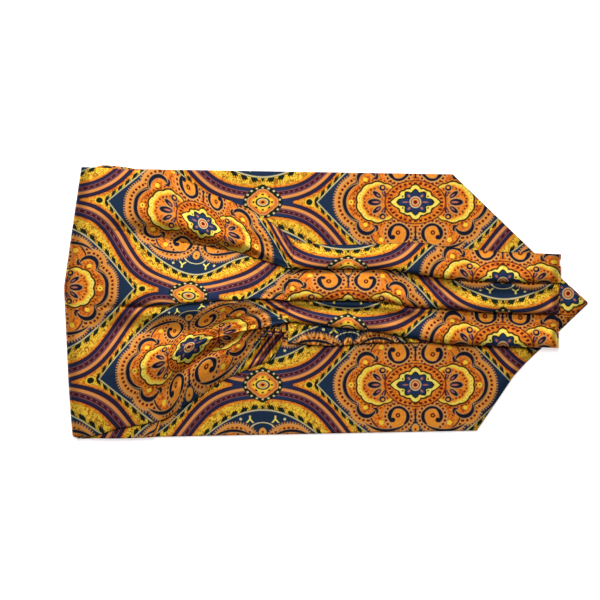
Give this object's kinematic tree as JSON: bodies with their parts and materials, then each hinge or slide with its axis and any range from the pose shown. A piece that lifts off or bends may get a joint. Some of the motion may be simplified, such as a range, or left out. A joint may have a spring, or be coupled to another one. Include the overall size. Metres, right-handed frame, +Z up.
{
  "type": "silk cravat",
  "caption": "Silk day cravat folded and laid flat: wide pointed blades doubled over each other, a blade gathered into a pleated neckband, ogee paisley medallion print.",
  "frame": {"origin": "middle of the bounding box, on the surface that the cravat lies on", "axes": "+X along the strip from the blades' left fold to their points, +Y across it, +Z up"},
  "size_m": [0.2988, 0.1568, 0.0117],
  "materials": {
    "satin": "printed silk satin, soft sheen, orange, gold, navy and maroon",
    "satin_back": "the same printed silk satin, facing side and hidden runs"
  },
  "bodies": {
    "root": {"blade_a_upper": "satin", "blade_a_lower": "satin_back", "blade_b_lower": "satin", "hidden_layers": "satin_back", "neckband_pleat_1": "satin", "neckband_pleat_2": "satin", "neckband_pleat_3": "satin", "neckband_flap": "satin"}
  },
  "joints": []
}
